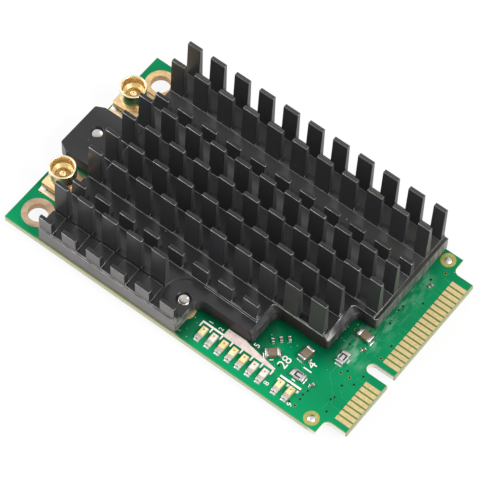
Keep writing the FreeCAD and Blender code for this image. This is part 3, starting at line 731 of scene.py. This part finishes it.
def rounded_path(corners, steps=5):
    """Points of a closed outline of (a, b, radius) corners, with an arc at each corner that has a radius."""
    points = []
    count = len(corners)
    for i, (a, b, radius) in enumerate(corners):
        here = Vector((a, b))
        if radius == 0:
            points.append(here)
            continue
        to_last = (Vector(corners[i - 1][:2]) - here).normalized()
        to_next = (Vector(corners[(i + 1) % count][:2]) - here).normalized()
        half = to_last.angle(to_next) / 2
        start = here + to_last * (radius / math.tan(half))
        end = here + to_next * (radius / math.tan(half))
        center = here + (to_last + to_next).normalized() * (radius / math.sin(half))
        for step in range(steps + 1):
            way = start.lerp(end, step / steps) - center
            points.append(center + way.normalized() * radius)
    return points


def skin(bm, rings, closed=False):
    """Faces between rings of points, each with the same count, and flat caps on the ends of an open row."""
    made = [[bm.verts.new(point) for point in ring] for ring in rings]
    count = len(made[0])
    pairs = list(zip(made, made[1:]))
    if closed:
        pairs.append((made[-1], made[0]))
    for lower, upper in pairs:
        for i in range(count):
            j = (i + 1) % count
            bm.faces.new((lower[i], lower[j], upper[j], upper[i]))
    if not closed:
        bm.faces.new(list(reversed(made[0])))
        bm.faces.new(made[-1])


def prism(bm, outline, z0, z1):
    skin(bm, [[(p[0], p[1], z) for p in outline] for z in (z0, z1)])


def block(bm, x, y, z0, length, width, height, turn=0.0):
    """Box that stands on z0, turned about its own middle."""
    c, s = math.cos(turn), math.sin(turn)
    flat = [(a * length / 2, b * width / 2) for a, b in square]
    outline = [(x + c * a - s * b, y + s * a + c * b) for a, b in flat]
    prism(bm, outline, z0, z0 + height)


def revolve(bm, profile, x, y, z, segments):
    """Ring-shaped solid about a vertical axis of a closed outline of (radius, height) points."""
    rings = []
    for step in range(segments):
        angle = 2 * math.pi * step / segments
        c, s = math.cos(angle), math.sin(angle)
        rings.append([(x + r * c, y + r * s, z + h) for r, h in profile])
    skin(bm, rings, closed=True)


def ribbon(bm, points, width, z0, z1):
    """Flat strip along a line of places, with mitred bends."""
    sides = ([], [])
    for i, point in enumerate(points):
        here = Vector(point)
        before = (here - Vector(points[i - 1])).normalized() if i else None
        after = (Vector(points[i + 1]) - here).normalized() if i + 1 < len(points) else None
        along = ((before or after) + (after or before)).normalized()
        across = Vector((-along.y, along.x))
        lean = abs(across.dot(Vector((-(after or before).y, (after or before).x))))
        sides[0].append(here + across * (width / 2 / lean))
        sides[1].append(here - across * (width / 2 / lean))
    for i in range(len(points) - 1):
        quad = (sides[1][i], sides[1][i + 1], sides[0][i + 1], sides[0][i])
        prism(bm, quad, z0, z1)


def soften_edges(bm, width):
    """Round every edge that is sharper than 25 degrees."""
    bmesh.ops.recalc_face_normals(bm, faces=bm.faces)
    sharp = [e for e in bm.edges if e.is_manifold and e.calc_face_angle() > math.radians(25)]
    bmesh.ops.bevel(bm, geom=sharp, offset=width, segments=2, profile=0.5, affect="EDGES", clamp_overlap=True)


def finish_piece(name, bm, materials, replaced=(), smooth=40):
    """Make an object of a mesh, shaded smooth below an angle, that rides on the card."""
    bmesh.ops.recalc_face_normals(bm, faces=bm.faces)
    for face in bm.faces:
        face.smooth = True
    for edge in bm.edges:
        edge.smooth = edge.is_manifold and edge.calc_face_angle() < math.radians(smooth)
    mesh = bpy.data.meshes.new(name)
    bm.to_mesh(mesh)
    bm.free()
    mesh.transform(Matrix.Scale(MM, 4))
    for material in materials:
        mesh.materials.append(material)
    made = put(name, mesh)
    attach(made, "root")
    if replaced:
        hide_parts(*replaced)


def soften_node(name, width, edge=None):
    """Round a CAD node's edges with modifiers, which leave its own mesh as it is."""
    node = nodes[name]
    weld = node.modifiers.new("weld", "WELD")
    weld.merge_threshold = 0.001 * MM
    flat = node.modifiers.new("flat", "DECIMATE")
    flat.decimate_type = "DISSOLVE"
    flat.angle_limit = math.radians(1)
    bevel = node.modifiers.new("bevel", "BEVEL")
    bevel.width = width * MM
    bevel.segments = 2
    bevel.limit_method = "ANGLE"
    bevel.angle_limit = math.radians(30)
    bevel.use_clamp_overlap = False
    if edge:
        node.data.materials.append(edge)
        bevel.material = 1
    weigh = node.modifiers.new("even", "WEIGHTED_NORMAL")
    weigh.weight = 100


def dress_nodes():
    for sub in frame["record"]["subparts"]:
        node = nodes[sub["node"]]
        node.data.materials.clear()
        node.data.materials.append(looks[sub["material_slot"]])
    nodes["mounting_hole_plating"].data.materials[0] = mounting_ring_look
    nodes["tooling_hole_plating"].data.materials[0] = tooling_ring_look
    for name, width in node_rounding.items():
        soften_node(name, width, heatsink_edge if name == "heatsink" else None)


# Places read from the CAD nodes, in millimetres

Chip = namedtuple("Chip", "first second along half width height")


def node_center(name):
    low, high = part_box(name)
    return (low + high) / 2 / MM


def islands(name):
    """Points of each separate solid of a CAD node, in order from the antenna end and the back edge."""
    bm = bmesh.new()
    bm.from_mesh(nodes[name].data)
    bmesh.ops.remove_doubles(bm, verts=bm.verts, dist=0.001 * MM)
    seen = set()
    found = []
    for start in bm.verts:
        if start in seen:
            continue
        seen.add(start)
        stack = [start]
        group = []
        while stack:
            vert = stack.pop()
            group.append(vert.co.copy() / MM)
            for edge in vert.link_edges:
                other = edge.other_vert(vert)
                if other not in seen:
                    seen.add(other)
                    stack.append(other)
        found.append(group)
    bm.free()
    return sorted(found, key=lambda group: middle(group).x - middle(group).y)


def middle(group):
    return sum(group, Vector()) / len(group)


def chip_ends(name):
    """Both middles of each pair of terminals, the way between them, and a terminal's half length and size."""
    groups = islands(name)
    middles = [middle(group) for group in groups]
    left = list(range(len(groups)))
    chips = []
    while left:
        first = left.pop(0)
        second = min(left, key=lambda i: (middles[i] - middles[first]).length)
        left.remove(second)
        along = (middles[second] - middles[first]).normalized()
        side = Vector((-along.y, along.x, 0))
        half = max((p - middles[first]).dot(along) for p in groups[first])
        width = max((p - middles[first]).dot(side) for p in groups[first]) * 2
        height = max(p.z for p in groups[first]) - board_top
        chips.append(Chip(middles[first], middles[second], along, half, width, height))
    return chips


def lamp_places():
    """Middles of the lamps along the board, in order, read from their CAD lenses."""
    return sorted(middle(group).x for group in islands("lamp_lenses"))


# Antenna jacks


def below_rim(outline, rim, foot):
    """Outline of points given by their depth below a rim, closed by a flat foot."""
    corners = [(outline[-1][0], foot, 0), (outline[0][0], foot, 0)]
    return rounded_path(corners + [(radius, rim - depth, corner) for radius, depth, corner in outline])


def make_jack(side):
    names = ["antenna_jack_%s_%s" % (side, part) for part in ("shell", "insulator", "contact")]
    center = node_center(names[0])
    x, y = center.x, center.y
    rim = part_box(names[0])[1].z / MM - board_top
    bm = bmesh.new()
    base = [(x + a * jack_base_half, y + b * jack_base_half, jack_base_corner) for a, b in square]
    prism(bm, rounded_path(base), board_top + jack_base_bottom, board_top + jack_base_top)
    for a in (-jack_leg_place, jack_leg_place):
        for b in (-jack_leg_place, jack_leg_place):
            block(bm, x + a, y + b, board_top, jack_leg_size, jack_leg_size, jack_leg_height)
    soften_edges(bm, jack_base_rounding)
    for face in bm.faces:
        face.material_index = 1
    revolve(bm, below_rim(shell_outline, rim, jack_leg_height), x, y, board_top, 80)
    shell_looks = [looks["jack_gold"], jack_base_look]
    finish_piece("jack_%s_shell" % side, bm, shell_looks, names[:1], smooth=50)
    bm = bmesh.new()
    revolve(bm, below_rim(insulator_outline, rim, jack_base_bottom), x, y, board_top, 48)
    finish_piece("jack_%s_insulator" % side, bm, [looks["insulator_white"]], names[1:2])
    bm = bmesh.new()
    revolve(bm, below_rim(contact_outline, rim, 0.0), x, y, board_top, 40)
    finish_piece("jack_%s_contact" % side, bm, [looks["jack_gold"]], names[2:])
    bm = bmesh.new()
    for b in (-jack_pad_place, jack_pad_place):
        block(bm, x, y + b, board_top, *jack_pad_size)
    soften_edges(bm, 0.012)
    finish_piece("jack_%s_pads" % side, bm, [jack_pad_look])


# Indicator lamps


def lamp_end_outline(x, inner, outer):
    """Plan of a lamp's terminal with a half-round notch in its outer end."""
    way = 1 if inner > outer else -1
    points = [(x - lamp_end_half, inner), (x - lamp_end_half, outer)]
    for step in range(notch_steps + 1):
        angle = math.pi * (1 - step / notch_steps)
        points.append((x + notch_radius * math.cos(angle), outer + way * notch_radius * math.sin(angle)))
    points += [(x + lamp_end_half, outer), (x + lamp_end_half, inner)]
    return points


def make_lamps():
    low, high = (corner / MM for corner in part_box("lamp_terminals"))
    lens_low, lens_high = (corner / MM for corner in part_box("lamp_lenses"))
    front = low.y + lamp_front_end
    back = high.y - lamp_back_end
    end_top = board_top + lamp_end_height
    lens_levels = ((0.0, lens_low.z), (0.02, lens_low.z + lens_shoulder), (0.06, lens_high.z - lens_crown),
                   (0.14, lens_high.z))
    lens_middle = (lens_low.y + lens_high.y) / 2
    bases = bmesh.new()
    ends = bmesh.new()
    dots = bmesh.new()
    lenses = bmesh.new()
    order = {"clear": 0, "pale": 1, "amber": 2}
    for x, kind in zip(lamp_places(), lamp_tints):
        block(bases, x, (front + back) / 2, board_top, lamp_base_width, back - front, lamp_base_height)
        prism(ends, lamp_end_outline(x, front, low.y), board_top, end_top)
        prism(ends, lamp_end_outline(x, back, high.y), board_top, end_top)
        rings = []
        for lean, z in lens_levels:
            x0, x1 = x - lens_half + lean, x + lens_half - lean
            y0, y1 = lens_low.y + lean, lens_high.y - lean
            corners = [(a, b, lens_corner) for a, b in ((x0, y0), (x1, y0), (x1, y1), (x0, y1))]
            rings.append([(p.x, p.y, z) for p in rounded_path(corners, 3)])
        before = set(lenses.faces)
        skin(lenses, rings)
        for face in set(lenses.faces) - before:
            face.material_index = order[kind]
        revolve(dots, die_outline, x + die_shift[0], lens_middle + die_shift[1], lens_high.z - die_sink, 16)
    soften_edges(bases, lamp_rounding)
    soften_edges(ends, lamp_rounding)
    finish_piece("lamp_bodies", bases, [looks["lamp_white"]], ["lamp_bases"])
    finish_piece("lamp_ends", ends, [lamp_end_look], ["lamp_terminals"])
    finish_piece("lamp_dies", dots, [lamp_dot_look])
    lens_looks = [looks["lamp_clear"], lens_white, lens_amber]
    finish_piece("lamp_lens_blocks", lenses, lens_looks, ["lamp_lenses"], smooth=60)


# Solder, screw ends, contact gaps and resistor coats


def solder_fillet(bm, x, y, angle, width, height, reach):
    """Hollow-faced solder at the end of a terminal, running out on the board along an angle."""
    out = Vector((math.cos(angle), math.sin(angle)))
    side = Vector((-out.y, out.x))
    rings = []
    for step in range(fillet_steps + 1):
        u = step / fillet_steps
        level = height * (1 - u) ** 2.2 + fillet_edge
        half = width / 2 * (1 - 0.25 * u * u)
        ring = []
        for across, lift in fillet_section:
            p = Vector((x, y)) + out * (reach * u) + side * (across * half)
            ring.append((p.x, p.y, board_top + level * lift))
        rings.append(ring)
    skin(bm, rings)


def make_solder():
    bm = bmesh.new()
    for name, reach in chip_fillets.items():
        for chip in chip_ends(name):
            angle = math.atan2(chip.along.y, chip.along.x)
            width = chip.width * chip_fillet_width_share
            height = chip.height * chip_fillet_height_share
            for end, way, turn in ((chip.first, -1, angle + math.pi), (chip.second, 1, angle)):
                face = end + chip.along * (way * chip.half)
                solder_fillet(bm, face.x, face.y, turn, width, height, reach)
    low, high = (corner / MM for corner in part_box("lamp_terminals"))
    for x in lamp_places():
        solder_fillet(bm, x, low.y, -math.pi / 2, fillet_width, lamp_fillet_height, lamp_front_reach)
        solder_fillet(bm, x, high.y, math.pi / 2, fillet_width, lamp_fillet_height, lamp_back_reach)
    for side in ("front", "back"):
        center = node_center("antenna_jack_%s_shell" % side)
        for a in (-1, 1):
            for b in (-1, 1):
                x = center.x + a * jack_leg_place
                y = center.y + b * jack_fillet_place
                solder_fillet(bm, x, y, b * math.pi / 2, fillet_width, jack_fillet_height, jack_fillet_reach)
    for group in islands("tooling_hole_plating"):
        place = middle(group)
        revolve(bm, tooling_solder, place.x, place.y, 0.0, 32)
    finish_piece("solder_fillets", bm, [looks["solder_tin"]])


def make_screw_cups():
    """Hollow ends of the heatsink screws, seen down their holes."""
    bm = bmesh.new()
    for group in islands("heatsink_screws"):
        x = (min(p.x for p in group) + max(p.x for p in group)) / 2
        y = (min(p.y for p in group) + max(p.y for p in group)) / 2
        end = max(p.z for p in group)
        revolve(bm, rounded_path(screw_cup), x, y, end - screw_cup_sink, 32)
    finish_piece("screw_cups", bm, [looks["screw_nickel"]])


def make_contact_gaps():
    """Bare laminate between the edge contacts, where the mask is left open. It laps the contacts' edges."""
    bm = bmesh.new()
    sides = (("edge_contacts_top", board_top, 1), ("edge_contacts_bottom", board_low.z, -1))
    for name, face, up in sides:
        contacts = sorted(islands(name), key=lambda group: middle(group).y)
        plating = max(abs(p.z - face) for p in contacts[0])
        low, high = sorted((face, face + up * (plating + film / 4)))
        for first, second in zip(contacts, contacts[1:]):
            y0 = max(p.y for p in first) - contact_gap_lap
            y1 = min(p.y for p in second) + contact_gap_lap
            if y1 - y0 > contact_gap_limit:
                continue
            x0 = min(p.x for p in first)
            x1 = max(p.x for p in first)
            prism(bm, ((x0, y0), (x1, y0), (x1, y1), (x0, y1)), low, high)
    finish_piece("contact_gaps", bm, [bare_laminate])


def make_resistor_coats():
    glaze = bmesh.new()
    frames = bmesh.new()
    z = board_top + coat_level
    for chip in chip_ends("resistor_terminals"):
        center = (chip.first + chip.second) / 2
        angle = math.atan2(chip.along.y, chip.along.x)
        side = Vector((-chip.along.y, chip.along.x, 0))
        length = (chip.second - chip.first).length - 2 * chip.half
        block(glaze, center.x, center.y, z, length - glaze_inset, glaze_width, glaze_height, angle)
        for across in (-frame_line_place, frame_line_place):
            p = center + side * across
            block(frames, p.x, p.y, z, length - frame_inset, frame_line, frame_height, angle)
        p = center - chip.along * (length / 2 - frame_bar_place)
        block(frames, p.x, p.y, z, frame_line, frame_bar_width, frame_height, angle)
    soften_edges(glaze, coat_rounding)
    soften_edges(frames, coat_rounding)
    finish_piece("resistor_glaze", glaze, [resistor_glaze_look], ["resistor_coats"])
    finish_piece("resistor_frames", frames, [looks["resistor_black"]])


# Board print, tracks and vias


def make_print():
    area = bmesh.new()
    prism(area, [on_board(*p) for p in print_block], board_top, board_top + 1.2 * film)
    finish_piece("silkscreen_block", area, [silk_pink])
    bm = bmesh.new()
    for x0, y0, x1, y1 in print_bars:
        outline = [on_board(*p) for p in ((x0, y0), (x1, y0), (x1, y1), (x0, y1))]
        prism(bm, outline, board_top, board_top + film)
    for place in print_dashes:
        x, y = on_board(*place)
        block(bm, x, y, board_top, *dash_size)
    finish_piece("silkscreen_marks", bm, [silk_white])


def make_numbers():
    """Plain index numbers in the board print, read from the contact end."""
    bm = bmesh.new()
    turn = Matrix.Rotation(math.pi / 2, 4, "Z")
    for text, x, y, size in print_numbers:
        curve = bpy.data.curves.new("number", "FONT")
        curve.body = text
        curve.size = size
        holder = put("number", curve)
        bpy.context.view_layer.update()
        flat = bpy.data.meshes.new_from_object(holder)
        place = on_board(x, y)
        flat.transform(Matrix.Translation((place[0], place[1], board_top + film)) @ turn)
        bm.from_mesh(flat)
        bpy.data.objects.remove(holder)
        bpy.data.curves.remove(curve)
        bpy.data.meshes.remove(flat)
    raised = bmesh.ops.extrude_face_region(bm, geom=bm.faces[:])
    down = [v for v in raised["geom"] if isinstance(v, bmesh.types.BMVert)]
    bmesh.ops.translate(bm, verts=down, vec=(0, 0, -film))
    finish_piece("silkscreen_numbers", bm, [silk_white])


def top_tracks():
    """Tracks that show on the component side: short ends at the contacts and the free routes."""
    routes = []
    for i in range(long_contacts):
        if i % 3 == 1:
            continue
        y = 12.8 + contact_pitch * i
        routes.append([(top_start, y), (top_start - 0.7 - 0.45 * (i * 5 % 4), y)])
    for i in range(1, short_contacts, 2):
        y = 3.2 + contact_pitch * i
        bend = 47.6 - 0.3 * (i % 3)
        routes.append([(top_start, y), (bend, y), (bend - 0.7, y + 0.7)])
    return routes + free_routes


def bottom_tracks():
    """Tracks on the underside: a bus from the contacts that steps over towards the radio chip."""
    routes = []
    for count, contact, inner_start, bend_start, bend_step, stop, stops in (
        (long_contacts, 13.2, 12.2, 44.5, -0.25, 30.5, 5),
        (short_contacts, 3.6, 7.6, 44.0, 0.25, 31.5, 4),
    ):
        for i in range(count):
            y = contact + contact_pitch * i
            inner = inner_start + 0.42 * i
            bend = bend_start + bend_step * i
            routes.append([(bottom_start, y), (bend, y), (bend - abs(y - inner), inner),
                           (stop + 0.3 * (i % stops), inner)])
    for y in amplifier_rows:
        routes.append([(6.2, y), (10.5, y)])
    return routes


def bottom_vias():
    """Vias under the radio chip, under the amplifiers and along both edges of the board."""
    places = []
    for i in range(6):
        for j in range(6):
            places.append((20.5 + 1.2 * i, 15.4 + 1.2 * j))
    for y in amplifier_rows:
        for i in range(3):
            for j in range(3):
                places.append((11.4 + 1.1 * i, y - 1.1 + 1.1 * j))
    for i in range(11):
        places.append((7.0 + 3.6 * i, 29.3))
        places.append((6.0 + 3.6 * i, 0.7))
    return places


def make_tracks():
    for name, routes, z0, z1 in (
        ("tracks_top", top_tracks(), board_top, board_top + film),
        ("tracks_bottom", bottom_tracks(), -film, 0.0),
    ):
        bm = bmesh.new()
        for route in routes:
            ribbon(bm, [on_board(*p) for p in route], track_width, z0, z1)
        finish_piece(name, bm, [track_green])


def make_vias():
    for name, places, z, way in (
        ("vias_top", top_vias, board_top, 1),
        ("vias_bottom", bottom_vias(), 0.0, -1),
    ):
        bm = bmesh.new()
        ring = [(radius, way * height) for radius, height in via_ring]
        shade_disc = [(radius, way * height) for radius, height in via_shade_disc]
        for i, place in enumerate(places):
            x, y = on_board(*place)
            start = len(bm.faces)
            revolve(bm, ring, x, y, z, 16)
            inner = len(bm.faces)
            # The dark disc in each via is painted shade for its hole.
            revolve(bm, shade_disc, x, y, z, 12)
            bm.faces.ensure_lookup_table()
            for face in bm.faces[start:inner]:
                face.material_index = 2 if i % 4 == 1 else 0
            for face in bm.faces[inner:]:
                face.material_index = 1
        finish_piece(name, bm, [via_rim, via_shade_look, via_gold])


make_camera()
make_world()
make_floor()
area_light("key_light", *key_light)
area_light("fill_light", *fill_light)
bpy.context.scene.view_settings.view_transform = "Standard"
dress_nodes()
make_jack("front")
make_jack("back")
make_lamps()
make_solder()
make_screw_cups()
make_contact_gaps()
make_resistor_coats()
make_print()
make_numbers()
make_tracks()
make_vias()
